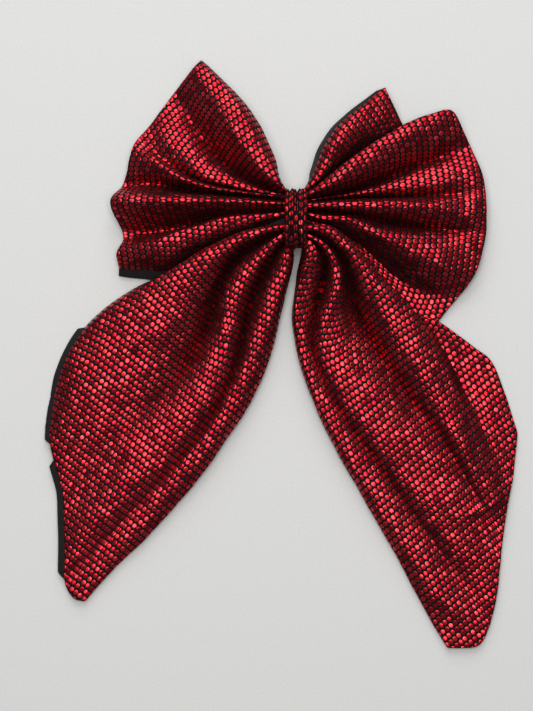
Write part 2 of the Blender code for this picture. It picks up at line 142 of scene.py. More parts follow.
# Felt pad
FELT_GRID = (80, 16)
FELT_FUZZ = 0.12
FELT_FUZZ_WAVES = (40, 9)  # in half its length and half its width
FELT_FUZZ_SEED = 3.0
FELT_END_CURVE = 0.012  # share that its corners are shorter by
FELT_END_TAPER = 0.12  # and its ends narrower by
FELT_ROUNDING = 0.22
FELT_ROUNDING_STEPS = 3

# Colours, from dark to light, and roughnesses, from smooth to rough
FOIL_REDS = ((0.30, 0.005, 0.014, 1), (0.72, 0.038, 0.048, 1))
# Painted shade: the colour that darkens each dot's middle, standing in for the dimmer reflection at a domed
# dot's centre
PAINTED_DOT_SHADE = (0.10, 0.0, 0.002, 1)
PAINTED_DOT_SHADE_SHARE = 0.55  # share of painted shade in a dot's middle, standing in for a domed dot's dimmer reflection there
KNIT_BLACK = (0.0035, 0.003, 0.0035, 1)
LINING_BLACKS = ((0.003, 0.0028, 0.003, 1), (0.009, 0.008, 0.009, 1))
FELT_BLACKS = ((0.008, 0.008, 0.009, 1), (0.026, 0.025, 0.028, 1))
THREAD_BLACKS = ((0.008, 0.008, 0.009, 1), (0.03, 0.03, 0.032, 1))
STEEL_GREYS = ((0.56, 0.56, 0.57, 1), (0.70, 0.69, 0.67, 1))
FLOOR_GREYS = ((0.50, 0.50, 0.49, 1), (0.57, 0.57, 0.56, 1))
FOIL_ROUGHNESS = (0.27, 0.41)
KNIT_ROUGHNESS = 0.78
LINING_ROUGHNESS = (0.75, 0.90)
FELT_ROUGHNESS = (0.88, 0.98)
THREAD_ROUGHNESS = (0.55, 0.75)
STEEL_ROUGHNESS = (0.18, 0.34)
STEEL_SMUDGE_ROUGHNESS = 0.12  # added by smudges
FLOOR_ROUGHNESS = (0.85, 0.95)

# Textures: ribs and loops of the knits in mm, and waves per metre of the others
FOIL_RIB = 0.55
LINING_RIB = 0.6
LOOPS_PER_RIB = 1.4
LINING_WEAR = 0.25  # waves per mm
FELT_FIBRES = 900.0
FELT_PATCHES = 60.0
THREAD_TWIST = 900.0
STEEL_BRUSHING = 5200.0
STEEL_BRUSHING_STRETCH = (0.04, 1.0, 1.0)
STEEL_SMUDGES = 90.0
FLOOR_GRAIN = 700.0

# Guide lines: (kind, points from the knot to the outer edge). Kinds: edge, ridge, valley and flank.
LEFT_LOOP = (
    ("edge", ((-4, 14, 20), (-8.5, 22, 20), (-11, 33, 19.5), (-20.3, 52.8, 17), (-33, 69.5, 12),
              (-51, 87, 6))),
    ("flank", ((-4, 13.7, 23.5), (-9, 20.7, 26), (-14.2, 31, 26.5), (-24, 49.5, 24.5), (-36.5, 69.5, 19),
               (-51.8, 86, 11))),
    ("ridge", ((-4, 13.2, 24), (-11, 19, 26.5), (-19.5, 28, 27), (-31.5, 45, 24.5), (-44.5, 66, 19),
               (-55.5, 82.2, 12))),
    ("flank", ((-4, 12.9, 22), (-12.5, 17.6, 23.5), (-23, 26, 22.5), (-37, 42, 18.5), (-51, 62.5, 14),
               (-59.6, 77, 9.5))),
    ("valley", ((-4, 12.4, 17), (-14, 16, 13.5), (-30, 23.6, 8.5), (-46, 37.6, 6), (-60, 57, 5.5),
                (-68, 66.5, 4))),
    ("ridge", ((-4, 11.8, 20), (-30, 16.8, 18.5), (-48, 23.5, 17.5), (-60, 34.5, 15.5), (-69, 40.5, 12.5),
               (-80, 50, 7))),
    ("valley", ((-4, 11.4, 18), (-32, 15.8, 14), (-53, 21.2, 12), (-72, 32.2, 10.5), (-86.5, 43, 7))),
    ("ridge", ((-4, 10.8, 24), (-16.5, 12.6, 24), (-30, 14, 23.5), (-46, 16.4, 22.5), (-62, 21.6, 21),
               (-74, 29, 18.5), (-89, 38.8, 11))),
    ("valley", ((-4, 10.3, 16), (-30, 12.6, 9.5), (-57, 16, 6), (-74, 19, 6.5), (-84, 19.6, 6),
                (-93.6, 17.5, 3))),
    ("flank", ((-4, 9.6, 21), (-30, 11.8, 20.5), (-63, 13.4, 19), (-84, 13.6, 17), (-100, 13.6, 14))),
    ("ridge", ((-4, 7.6, 24.5), (-30, 9, 24.5), (-63, 9.4, 23), (-84, 9.4, 20), (-101.3, 9.2, 16))),
    ("flank", ((-4, 5.6, 21), (-30, 5.4, 19.5), (-63, 4.6, 17), (-84, 4, 15), (-99.7, 4, 12))),
    ("valley", ((-4, 4, 15), (-22, 3.6, 12.8), (-38.5, 2, 11.8), (-50, -1, 5), (-74, -6.8, 2.9),
                (-92, -9.4, 2.6))),
    ("ridge", ((-4, 3, 20), (-22, 1.1, 21), (-38, 0, 20.5), (-52, -4.4, 19), (-65, -7.6, 17.5),
               (-78, -13, 15.5), (-98, -18, 10))),
    ("edge", ((-4, 1.5, 16), (-20, -5, 13), (-34, -11, 10), (-52, -20, 6), (-70, -29, 3.6), (-82, -28.6, 3),
              (-96, -27, 2.8))),
)
RIGHT_LOOP = (
    ("edge", ((3.5, 14, 20), (8.8, 24, 17), (13.2, 36.8, 15), (20.4, 48.4, 14), (30.3, 57.8, 13),
              (48.4, 71.5, 11))),
    ("ridge", ((3.5, 13.4, 23), (11.5, 21, 23.5), (16.5, 30.3, 23), (22.5, 41.5, 21.5), (31, 51.5, 19),
               (50, 68.5, 13))),
    ("valley", ((3.5, 12.8, 17), (18, 21, 10), (30, 31, 6), (46, 38.5, 3.5), (64, 39.6, 3))),
    ("flank", ((3.5, 12.6, 22), (13, 19.2, 23), (28, 31.2, 23.5), (44.5, 42.6, 22), (60, 52, 19),
               (80, 60.6, 16))),
    ("ridge", ((3.5, 11.4, 25), (13.7, 16.6, 26), (22, 21.6, 26), (38.5, 34.2, 25), (55, 45, 22.5),
               (85, 60.8, 17))),
    ("valley", ((3.5, 9.8, 15), (20, 13.2, 10), (41, 18.4, 7), (60, 27, 6.5), (78, 33.5, 6.5),
                (95, 40, 6.5))),
    ("ridge", ((3.5, 9.2, 18), (40, 14.8, 16), (58, 18, 15.5), (72, 20, 15.5), (85, 22, 15.5),
               (102.5, 24, 11.5))),
    ("valley", ((3.5, 8.6, 15), (19, 10.6, 10.5), (36, 11.6, 8.5), (58, 12, 8.5), (80, 13, 10.5),
                (103.5, 15, 10.5))),
    ("ridge", ((3.5, 6.4, 24), (19, 7, 24.5), (36, 7.9, 24.5), (58, 7.9, 22.5), (75, 6.8, 19),
               (104.2, 4.5, 11.5))),
    ("valley", ((3.5, 4.4, 15), (16, 3.8, 12.9), (30, 2.6, 12), (40, 0.4, 11.2), (54, -2, 6.5),
                (76, -4.5, 7), (104, -8, 8.5))),
    ("ridge", ((3.5, 2.6, 22), (9, 1.2, 22.5), (16.5, -0.6, 22), (25, -0.2, 21.5), (32, -1.6, 21),
               (43.5, -7.8, 19.5), (55, -13, 18), (71.5, -20, 15.5), (84, -24.5, 13), (100, -27, 8.5))),
    ("flank", ((3.5, 1.4, 19), (12, -1.8, 18), (24, -5, 16.5), (37, -11.5, 14), (56, -22.5, 11),
               (76, -34.5, 8.5), (93.5, -37.5, 6))),
    ("valley", ((3.5, 0.4, 15), (19, -4.8, 12.5), (38, -16, 6), (57, -33, 3.4), (85, -46.5, 3.4))),
    ("edge", ((3.5, -0.4, 15), (19, -8, 12), (37, -22, 6), (54, -39.5, 2.8), (67, -52, 2.4),
              (77.8, -56, 2.4))),
)
LEFT_TAIL = (
    ("edge", ((-4, -1.5, 17), (-18, -5.5, 16), (-30, -9, 15.5), (-50, -18, 13), (-74, -31, 9),
              (-91, -39.2, 6.5), (-108.2, -52, 5), (-121.5, -67.5, 4.5), (-129, -84, 4),
              (-132.4, -100, 3))),
    ("flank", ((-4, -1.5, 20), (-18, -4.4, 20.5), (-30, -7.6, 20.5), (-49.5, -16, 19), (-66, -26.4, 18),
               (-80, -35.4, 16), (-103, -49.6, 12), (-121, -69, 9), (-131, -93, 5.5), (-134.2, -108, 3.8))),
    ("ridge", ((-4, -3.6, 23.5), (-18, -6.6, 24), (-30, -10, 23.5), (-49.5, -19.5, 22), (-66, -30, 19.5),
               (-79, -41, 17), (-93, -56, 14.5), (-107, -74, 12.5), (-121, -98, 9.5), (-134.6, -123, 5))),
    ("valley", ((-4, -6.5, 15), (-16.5, -11, 9.5), (-31, -19.5, 5), (-40, -33, 3), (-47, -54, 3),
                (-58, -78, 4.5), (-90, -113, 8), (-127, -149, 3.6))),
    ("ridge", ((-4, -8, 21), (-8, -9.5, 21.5), (-18, -17.5, 19.5), (-25, -25.5, 18), (-31, -34, 16.5),
               (-37, -46, 15), (-39.5, -58, 13.5), (-42, -72, 12.5), (-55, -98, 13), (-85, -133, 11.5),
               (-112, -163, 8.5), (-126.2, -178, 5))),
    ("valley", ((-4, -11.5, 13), (-10, -17.5, 9), (-18, -31, 5), (-24, -45, 3), (-28, -61, 3),
                (-33, -82, 5), (-49, -113, 7.5), (-79, -149, 7), (-126.6, -199, 3.4))),
    ("ridge", ((-3.4, -14, 20), (-5, -20, 19), (-8, -33, 17), (-14, -50, 15), (-20.5, -66, 13),
               (-27, -82, 12), (-43, -112, 11), (-72, -147, 9), (-121.5, -208, 3.2))),
    ("edge", ((-0.6, -16, 15), (-0.4, -22, 12.5), (-2.2, -30, 10.5), (-4.6, -39, 9), (-8.4, -55, 7),
              (-14.2, -77, 6), (-25, -101, 5.5), (-41, -125.5, 5.5), (-57.5, -147.5, 5), (-80, -172.5, 4),
              (-101.5, -193.5, 3.2), (-115.6, -209, 2.8))),
)
RIGHT_TAIL = (
    ("edge", ((4.5, -2.8, 17), (18, -8.6, 13.5), (29, -17.2, 9.5), (51, -38, 5.5), (67, -52.4, 4.2),
              (78.2, -56.3, 4.5), (98, -70.8, 5.5), (107.5, -78.6, 5), (115, -96, 4), (122, -117, 3))),
    ("valley", ((4.6, -3, 17), (19, -7.8, 13.5), (31, -17.4, 9), (52, -37.8, 4.6), (68, -53.6, 3.6),
                (75, -59.6, 3.4), (80, -69, 3.4), (86.5, -80, 3.6), (92, -92, 4), (99, -105, 4.6),
                (107, -122, 5), (119.6, -140, 3.4))),
    ("flank", ((5, -3.2, 21.5), (19, -4, 21.5), (30, -11.6, 20.5), (38.5, -21, 19), (50, -33.8, 17),
               (62, -46.6, 15.5), (70.5, -58.5, 14.5), (76, -69.3, 13.5), (82, -80, 12.5), (87, -91, 11.5),
               (93.5, -105, 10), (101, -122, 8), (117.6, -150, 4))),
    ("ridge", ((5, -4.6, 23.5), (17.6, -6.2, 23.5), (28, -14.2, 22.5), (37, -26, 21), (47, -37.5, 19.5),
               (58, -51, 18), (65, -64, 17), (72, -82, 15), (79, -100, 13), (91, -124, 11.5),
               (115.6, -161, 4.5))),
    ("valley", ((5, -7.4, 14), (14, -10.6, 11), (24, -19.5, 7), (30, -33, 4.5), (34, -49.5, 4),
                (42, -66, 4.5), (52.5, -82.5, 5.5), (64, -99, 5), (82, -122, 5.5), (113.4, -176, 4))),
    ("ridge", ((5, -8.4, 21), (13.5, -12, 20.5), (20, -19.5, 19.5), (23.8, -29.5, 18.5), (24, -38, 17.5),
               (20, -49, 16), (17.6, -61, 14), (19, -75, 12.5), (29, -93, 12), (45, -117, 11.5),
               (72, -150, 10), (110.8, -205, 4))),
    ("valley", ((5, -10.2, 14), (10.5, -14.4, 11), (16, -21, 8), (16.5, -30, 6), (13.5, -42, 5.5),
                (10, -56, 6), (9.5, -70, 7), (14, -86, 7.5), (28, -110, 6.5), (56, -149, 5),
                (107, -221, 3.6))),
    ("ridge", ((4.6, -11.6, 19), (8.4, -12.4, 19.5), (11.6, -18.6, 19), (9.8, -24, 18), (6, -29, 16.5),
               (3, -36, 14.5), (1.6, -46, 12.5), (1.8, -58, 11), (4.6, -76, 9.5), (16, -106, 9),
               (45, -154, 8), (76, -200, 6.5), (101.6, -234.6, 3))),
    ("edge", ((3.6, -14, 15), (2.8, -20.5, 13), (1, -28, 11), (-0.4, -39, 8.5), (-1.6, -49, 7),
              (-1.4, -60, 6), (2.8, -80, 5.5), (13.4, -108.6, 4.6), (32.4, -144, 3.6), (55, -183.4, 3),
              (73, -216.5, 2.8), (84, -234.6, 2.8))),
)

# Where the lining stands out past the face: (side, from, to, mm), in shares of that side.
LEFT_LOOP_BARE = (("last", 0.72, 1.08, 3.8),)
RIGHT_LOOP_BARE = (("first", 0.1, 1.0, 1.3),)
LEFT_TAIL_BARE = (
    ("first", 0.74, 1.00, 2.6),
    ("rim", -0.18, 0.18, 2.6),
    ("rim", 0.27, 0.80, 3.5),
)

# Small creases: (from, to, width, height), in mm. A height below 0 is a dent.
LEFT_TAIL_CREASES = (
    ((-92, -130), (-122, -158), 8.0, -1.2),
    ((-34, -40), (-58, -78), 5.0, -1.2),
    ((-72, -60), (-100, -74), 4.0, 0.9),
    ((-30, -64), (-46, -58), 3.5, 1.0),
)
RIGHT_TAIL_CREASES = (
    ((56, -126), (84, -148), 9.0, -1.6),
    ((92, -163), (113, -154), 2.6, 1.2),
    ((66, -118), (96, -112), 4.0, 0.8),
    ((36, -88), (60, -104), 4.0, 0.9),
)
LEFT_LOOP_CREASES = (((-70, 62), (-48, 44), 4.0, 0.7),)
RIGHT_LOOP_CREASES = (
    ((98, 36), (97, -18), 4.5, 1.3),
    ((76, -18), (88, -34), 3.5, 1.0),
)

# Panels: name, guide lines, ripple seed, creases, where the lining shows, and degrees of a tail's grain
LOOPS = (
    ("left_loop", LEFT_LOOP, 1.3, LEFT_LOOP_CREASES, LEFT_LOOP_BARE),
    ("right_loop", RIGHT_LOOP, 4.1, RIGHT_LOOP_CREASES, RIGHT_LOOP_BARE),
)
TAILS = (
    ("left_tail", LEFT_TAIL, 7.7, LEFT_TAIL_CREASES, LEFT_TAIL_BARE, 232),
    ("right_tail", RIGHT_TAIL, 11.2, RIGHT_TAIL_CREASES, (), 309),
)


# ---- Curves and lofted grids, in mm ----


def ramp(values, low, high):
    """From 0 at low to 1 at high in a straight line, and level outside them."""
    return np.clip((values - low) / (high - low), 0, 1)


def smooth_step(t):
    """From 0 to 1, level at both ends."""
    return t * t * (3 - 2 * t)


def leaving(t):
    """0 at both ends, with a slope of 1 at the start and 0 at the end."""
    return t**3 - 2 * t**2 + t


def arriving(t):
    """0 at both ends, with a slope of 0 at the start and 1 at the end."""
    return t**3 - t**2


def smooth_line(points, shares):
    """A curve through the points, read at the given shares of its length."""
    knots = np.array(points, float)
    padded = np.vstack([2 * knots[0] - knots[1], knots, 2 * knots[-1] - knots[-2]])
    t = np.linspace(0, 1, SPAN_STEPS, endpoint=False)[:, None]
    runs = []
    for before, here, after, beyond in zip(padded, padded[1:], padded[2:], padded[3:]):
        slope_here = (after - before) / 2
        slope_after = (beyond - here) / 2
        between = here * (1 - smooth_step(t)) + after * smooth_step(t)
        runs.append(between + slope_here * leaving(t) + slope_after * arriving(t))
    fine = np.vstack([*runs, knots[-1:]])
    lengths = np.concatenate([[0], np.cumsum(np.linalg.norm(np.diff(fine, axis=0), axis=1))])
    wanted = np.asarray(shares) * lengths[-1]
    return np.stack([np.interp(wanted, lengths, fine[:, axis]) for axis in range(3)], axis=1)


def end_slope(kind, share):
    """How steeply a fold leaves a guide line, against its mean slope. Valleys are steepest at the knot."""
    if kind == "ridge":
        return np.zeros_like(share)
    if kind == "flank":
        return np.ones_like(share)
    if kind == "edge":
        return np.full_like(share, EDGE_SLOPE)
    return VALLEY_SLOPE - VALLEY_SLOPE_LOSS * share


def fold_profile(kind_a, kind_b, shares, t):
    """The share of the drop between two guide lines that is reached at t. Ridges have broad crests."""
    if kind_b == "ridge" and kind_a != "ridge":
        return 1 - fold_profile(kind_b, kind_a, shares, 1 - t)
    if kind_a == "ridge" and kind_b in ("valley", "edge"):
        relaxed = shares[:, None] * RELAXED_SHARE
        return (1 - relaxed) * t**CREST_POWER + relaxed * smooth_step(t)
    start = end_slope(kind_a, shares)[:, None]
    end = end_slope(kind_b, shares)[:, None]
    return smooth_step(t) + start * leaving(t) + end * arriving(t)


def loft(guides, row_step, column_step):
    """A grid of points over the guide lines, its rows across the folds, and the column of each guide line."""
    steps = [np.diff(np.array(points, float), axis=0) for _, points in guides]
    longest = max(np.linalg.norm(step, axis=1).sum() for step in steps)
    rows = int(longest / row_step) + 1
    shares = np.linspace(0, 1, rows)
    lines = [smooth_line(points, shares) for _, points in guides]
    columns = [lines[0][:, None, :]]
    guide_column = [0]
    for (kind_a, _), (kind_b, _), a, b in zip(guides, guides[1:], lines, lines[1:]):
        widest = np.linalg.norm(b - a, axis=1).max()
        count = max(LEAST_COLUMNS, int(widest / column_step))
        t = (np.arange(1, count + 1) / count)[None, :]
        rise = fold_profile(kind_a, kind_b, shares, t)
        flat = a[:, None, :2] + (b - a)[:, None, :2] * t[..., None]
        height = a[:, None, 2] + (b - a)[:, None, 2] * rise
        columns.append(np.dstack([flat, height]))
        guide_column.append(guide_column[-1] + count)
    return np.hstack(columns), guide_column


def relax(grid, passes, creased=()):
    """Rounds the folds: each point moves halfway to its neighbours' mean. Edges stay on their own line.

    The creased columns, the valley bottoms, stay sharp near the knot and round off towards the outer edge.
    """
    share = np.linspace(0, 1, len(grid))[:, None]
    hold = 1 - ramp(share, *VALLEY_FADE)
    for _ in range(passes):
        before = grid
        mean = grid.copy()
        mean[1:-1, 1:-1] = (grid[:-2, 1:-1] + grid[2:, 1:-1] + grid[1:-1, :-2] + grid[1:-1, 2:]) / 4
        mean[-1, 1:-1] = (grid[-1, :-2] + grid[-1, 2:]) / 2
        mean[1:-1, 0] = (grid[:-2, 0] + grid[2:, 0]) / 2
        mean[1:-1, -1] = (grid[:-2, -1] + grid[2:, -1]) / 2
        grid = (grid + mean) / 2
        for column in creased:
            grid[:, column] += (before[:, column] - grid[:, column]) * hold
    return grid


def round_outer_edge(grid, passes):
    """Takes the corners off the outer edge, and less and less off the rows behind it."""
    pull = ramp(np.linspace(0, 1, len(grid)), OUTER_EDGE_FROM, 1)[:, None, None] ** 2
    for _ in range(passes):
        mean = grid.copy()
        mean[:, 1:-1] = (grid[:, :-2] + grid[:, 2:]) / 2
        grid = grid + (mean - grid) * pull / 2
    return grid


def unit(vectors):
    return vectors / np.maximum(np.linalg.norm(vectors, axis=-1, keepdims=True), 1e-9)


def normals(grid):
    """Unit normals of a grid, turned to the face side."""
    along = np.gradient(grid, axis=0)
    across = np.gradient(grid, axis=1)
    found = unit(np.cross(along, across))
    return found if found[..., 2].mean() > 0 else -found


# ---- Cloth coordinates ----


def cloth_coordinates(grid, guides, guide_column, grain):
    """Where each point lies on the flat cloth, in mm: u along the folds and v across them.

    Sizes are true on the ridges and the long edges, measured in from the outer edge. A fold that has less
    room near the knot than at the outer edge takes up its spare cloth at the bottom of its valley. Far from
    the knot the grain can have one direction, an angle in degrees, and elsewhere it follows the folds.
    """
    ridges = [c for c, (kind, _) in zip(guide_column, guides) if kind == "ridge"]
    direction = grain_direction(grid, ridges, grain)
    across = np.cross(direction, normals(grid))
    if ((grid[:, 1:] - grid[:, :-1]) * across[:, 1:]).sum(-1).mean() < 0:
        across = -across
    run_u, run_v = runs_across(grid, direction)
    drop_u, drop_v = runs_down(grid, (direction, across))
    anchors = [0, *ridges, grid.shape[1] - 1]
    cloth_u = {0: -drop_u[:, 0]}
    cloth_v = {0: -drop_v[:, 0]}
    u = np.zeros(grid.shape[:2])
    v = np.zeros(grid.shape[:2])
    for last, ridge in zip(anchors, anchors[1:]):
        need = run_v[:, ridge] - run_v[:, last]
        cloth_u[ridge] = cloth_u[last][-1] + run_u[-1, ridge] - run_u[-1, last] - drop_u[:, ridge]
        cloth_v[ridge] = cloth_v[last][-1] + need[-1] - drop_v[:, ridge]
        cloth_v[ridge] += max(0, np.percentile(need - (cloth_v[ridge] - cloth_v[last]), COVERED_ROWS))
        spare = (cloth_v[ridge] - cloth_v[last] - need)[:, None]
        valley = lowest_between(grid, last, ridge)
        down = run_v[:, last : valley + 1] - run_v[:, last : last + 1]
        up = run_v[:, ridge : ridge + 1] - run_v[:, valley : ridge + 1]
        share = down[:, -1:] / need[:, None]
        v[:, last : valley + 1] = cloth_v[last][:, None] + swallow(down, down[:, -1:], spare * share)
        v[:, valley : ridge + 1] = cloth_v[ridge][:, None] - swallow(up, up[:, :1], spare * (1 - share))
        zone = slice(last, ridge + 1)
        from_last = cloth_u[last][:, None] + run_u[:, zone] - run_u[:, last : last + 1]
        from_ridge = cloth_u[ridge][:, None] - (run_u[:, ridge : ridge + 1] - run_u[:, zone])
        mix = smooth_step(ramp(v[:, zone], cloth_v[last][:, None], cloth_v[ridge][:, None]))
        u[:, zone] = from_last * (1 - mix) + from_ridge * mix
    return np.dstack([u, v])


def grain_direction(grid, ridges, grain):
    """The grain at each point: along the folds, or in one direction, if given, far from the knot."""
    tangent = unit(np.gradient(grid, axis=0))
    direction = np.empty_like(grid)
    last_column = grid.shape[1] - 1
    for first, last in zip([0, *ridges], [*ridges, last_column]):
        share = np.linspace(0, 1, last - first + 1)[None, :, None]
        low = tangent[:, first : first + 1]
        high = tangent[:, last : last + 1]
        direction[:, first : last + 1] = (1 - share) * low + share * high
    if grain is not None:
        flat = np.array([math.cos(math.radians(grain)), math.sin(math.radians(grain)), 0])
        far = smooth_step(ramp(np.linspace(0, 1, len(grid)), *GRAIN_FADE))[:, None, None]
        direction = unit(direction) * (1 - far) + flat * far
    up = normals(grid)
    return unit(direction - up * (direction * up).sum(-1, keepdims=True))


def runs_across(grid, direction):
    """How far each point is from its row's start, along the grain and across it."""
    step = np.diff(grid, axis=1)
    along = (step * unit(direction[:, :-1] + direction[:, 1:])).sum(-1)
    across = np.sqrt(np.maximum((step**2).sum(-1) - along**2, 1e-6))
    start = np.zeros((len(grid), 1))
    return [np.hstack([start, np.cumsum(steps, axis=1)]) for steps in (along, across)]


def runs_down(grid, ways):
    """How far each point is from the outer edge, down its column, in each of the given directions."""
    step = np.diff(grid, axis=0)
    end = np.zeros((1, grid.shape[1]))
    steps = [(step * unit(way[:-1] + way[1:])).sum(-1) for way in ways]
    return [np.vstack([np.cumsum(part[::-1], axis=0)[::-1], end]) for part in steps]


def lowest_between(grid, first, last):
    """The column of the valley between two ridges."""
    return first + 1 + int(np.argmin(grid[:, first + 1 : last, 2].mean(axis=0)))


def swallow(distance, reach, spare):
    """Distance across the flat cloth for a distance down a fold, whose valley, at reach, has spare cloth."""
    share = ramp(distance / np.maximum(reach, 1e-6), SWALLOW_FROM, 1)
    return distance + spare * share**2


# ---- Meshes ----


def ripple(grid, cloth, depth, seed):
    """Small slack waves, longer along the folds than across them."""
    height = np.zeros(grid.shape[:2])
    for i in range(grid.shape[0]):
        for j in range(grid.shape[1]):
            u, v = cloth[i, j]
            for length, width, part, step in RIPPLE_WAVES:
                height[i, j] += part * noise.noise(Vector((u / length, v / width, seed + step)))
    return grid + normals(grid) * (height * depth)[..., None]


def turned_edge(grid, cloth, radius, under):
    """Adds a rolled border on the two long edges and the outer edge, curling under by an angle in degrees."""
    turns = np.radians(np.linspace(0, under, TURN_STEPS + 1))[1:]

    def border(points, flat, inner, inner_flat, up):
        outward = unit(points - inner)
        outward = unit(outward - up * (outward * up).sum(-1, keepdims=True))
        reach = np.linalg.norm(points - inner, axis=-1, keepdims=True)
        per_mm = (flat - inner_flat) / np.maximum(reach, 1e-6)
        rings = [points + radius * (outward * math.sin(a) - up * (1 - math.cos(a))) for a in turns]
        flats = [flat + per_mm * radius * a for a in turns]
        return rings, flats

    up = normals(grid)
    first = border(grid[:, 0], cloth[:, 0], grid[:, 1], cloth[:, 1], up[:, 0])
    last = border(grid[:, -1], cloth[:, -1], grid[:, -2], cloth[:, -2], up[:, -1])
    grid = np.stack([*first[0][::-1], *[grid[:, j] for j in range(grid.shape[1])], *last[0]], axis=1)
    cloth = np.stack([*first[1][::-1], *[cloth[:, j] for j in range(cloth.shape[1])], *last[1]], axis=1)
    up = normals(grid)
    rings, flats = border(grid[-1], cloth[-1], grid[-2], cloth[-2], up[-1])
    grid = np.vstack([grid, *[ring[None] for ring in rings]])
    return grid, np.vstack([cloth, *[flat[None] for flat in flats]])


def grid_quads(rows, columns):
    """The corners of each square of a grid, as point numbers."""
    index = np.arange(rows * columns).reshape(rows, columns)
    return np.stack([index[:-1, :-1], index[1:, :-1], index[1:, 1:], index[:-1, 1:]], axis=-1).reshape(-1, 4)


def thick_cloth(name, points, quads, corner_uv, thickness, material, sharp=frozenset()):
    """A closed layer of cloth whose outer side has the given points, with the cloth's mm as its UV map."""
    mesh = bpy.data.meshes.new(name)
    mesh.from_pydata((points.reshape(-1, 3) * MM).tolist(), [], quads.tolist())
    layer = mesh.uv_layers.new(name="cloth")
    layer.data.foreach_set("uv", corner_uv.astype(np.float32).ravel())
    mesh.materials.append(material)
    mesh.shade_smooth()
    for edge in mesh.edges:
        edge.use_edge_sharp = tuple(sorted(edge.vertices)) in sharp
    obj = bpy.data.objects.new(name, mesh)
    bpy.context.scene.collection.objects.link(obj)
    solid = obj.modifiers.new("Thickness", "SOLIDIFY")
    solid.thickness = thickness * MM
    solid.offset = -1
    apply_modifiers(obj)
    return obj


def cloth_panel(name, grid, cloth, thickness, material, creased=()):
    """A layer of cloth over a grid. The creased columns are sharp for the first part of their length."""
    rows, columns = grid.shape[:2]
    quads = grid_quads(rows, columns)
    if np.cross(np.gradient(grid, axis=0), np.gradient(grid, axis=1))[..., 2].mean() < 0:
        quads = quads[:, ::-1]
    sharp_rows = range(int(rows * SHARP_SHARE))
    sharp = {(row * columns + c, (row + 1) * columns + c) for c in creased for row in sharp_rows}
    return thick_cloth(name, grid, quads, cloth.reshape(-1, 2)[quads], thickness, material, sharp)


def cloth_ring(name, grid, cloth, thickness, material):
    """A ring of cloth. The last row of its grid is the first one again."""
    flat_quads = grid_quads(*cloth.shape[:2])
    points = grid[:-1].reshape(-1, 3)
    corner_uv = cloth.reshape(-1, 2)[flat_quads]
    return thick_cloth(name, points, flat_quads % len(points), corner_uv, thickness, material)


def apply_modifiers(obj):
    graph = bpy.context.evaluated_depsgraph_get()
    made = bpy.data.meshes.new_from_object(obj.evaluated_get(graph))
    obj.modifiers.clear()
    obj.data = made


# ---- Materials ----


class Nodes:
    """Short calls for building a node tree."""

    def __init__(self, name):
        self.material = bpy.data.materials.new(name)
        self.material.use_nodes = True
        self.tree = self.material.node_tree
        self.shader = self.tree.nodes["Principled BSDF"]

    def put(self, value, socket):
        if isinstance(value, bpy.types.NodeSocket):
            self.tree.links.new(value, socket)
        elif value is not None:
            socket.default_value = value

    def math(self, operation, a, b=None, c=None, clamp=False):
        node = self.tree.nodes.new("ShaderNodeMath")
        node.operation = operation
        node.use_clamp = clamp
        for value, socket in zip((a, b, c), node.inputs):
            self.put(value, socket)
        return node.outputs[0]

    def vector(self, operation, a, b=None, scale=None):
        node = self.tree.nodes.new("ShaderNodeVectorMath")
        node.operation = operation
        self.put(a, node.inputs[0])
        if scale is None:
            self.put(b, node.inputs[1])
        else:
            self.put(scale, node.inputs["Scale"])
        return node.outputs["Value"] if operation in ("LENGTH", "DOT_PRODUCT") else node.outputs["Vector"]

    def mix(self, kind, share, a, b):
        node = self.tree.nodes.new("ShaderNodeMix")
        node.data_type = kind
        sockets = {"FLOAT": (2, 3), "VECTOR": (4, 5), "RGBA": (6, 7)}[kind]
        self.put(share, node.inputs[0])
        self.put(a, node.inputs[sockets[0]])
        self.put(b, node.inputs[sockets[1]])
        return node.outputs[{"FLOAT": 0, "VECTOR": 1, "RGBA": 2}[kind]]

    def between(self, share, low, high):
        """A number that goes from low to high as the share goes from 0 to 1."""
        return self.math("MULTIPLY_ADD", share, high - low, low)

    def smooth(self, value, low, high):
        node = self.tree.nodes.new("ShaderNodeMapRange")
        node.interpolation_type = "SMOOTHSTEP"
        self.put(value, node.inputs[0])
        self.put(low, node.inputs[1])
        self.put(high, node.inputs[2])
        return node.outputs[0]

    def uv(self):
        node = self.tree.nodes.new("ShaderNodeUVMap")
        node.uv_map = "cloth"
        return node.outputs[0]

    def place(self):
        return self.tree.nodes.new("ShaderNodeTexCoord").outputs["Object"]

    def noise(self, vector, scale, detail=2.0, roughness=0.5):
        node = self.tree.nodes.new("ShaderNodeTexNoise")
        self.put(vector, node.inputs["Vector"])
        node.inputs["Scale"].default_value = scale
        node.inputs["Detail"].default_value = detail
        node.inputs["Roughness"].default_value = roughness
        return node.outputs[0]

    def bump(self, height, strength, distance, normal=None):
        """A bump whose distance is in metres."""
        node = self.tree.nodes.new("ShaderNodeBump")
        node.inputs["Strength"].default_value = strength
        node.inputs["Distance"].default_value = distance
        self.put(height, node.inputs["Height"])
        self.put(normal, node.inputs["Normal"])
        return node.outputs[0]

    def set(self, name, value):
        self.put(value, self.shader.inputs[name])


def knit_height(nodes, uv, size):
    """The rise and fall of a fine rib knit, from 0 to 1. Its ribs are size mm apart."""
    split = nodes.tree.nodes.new("ShaderNodeSeparateXYZ")
    nodes.put(uv, split.inputs[0])
    turn = 2 * math.pi / size
    ribs = nodes.math("SINE", nodes.math("MULTIPLY", split.outputs[1], turn))
    loops = nodes.math("SINE", nodes.math("MULTIPLY", split.outputs[0], turn * LOOPS_PER_RIB))
    both = nodes.math("MULTIPLY", ribs, loops)
    return nodes.math("MULTIPLY_ADD", both, 0.5, 0.5)


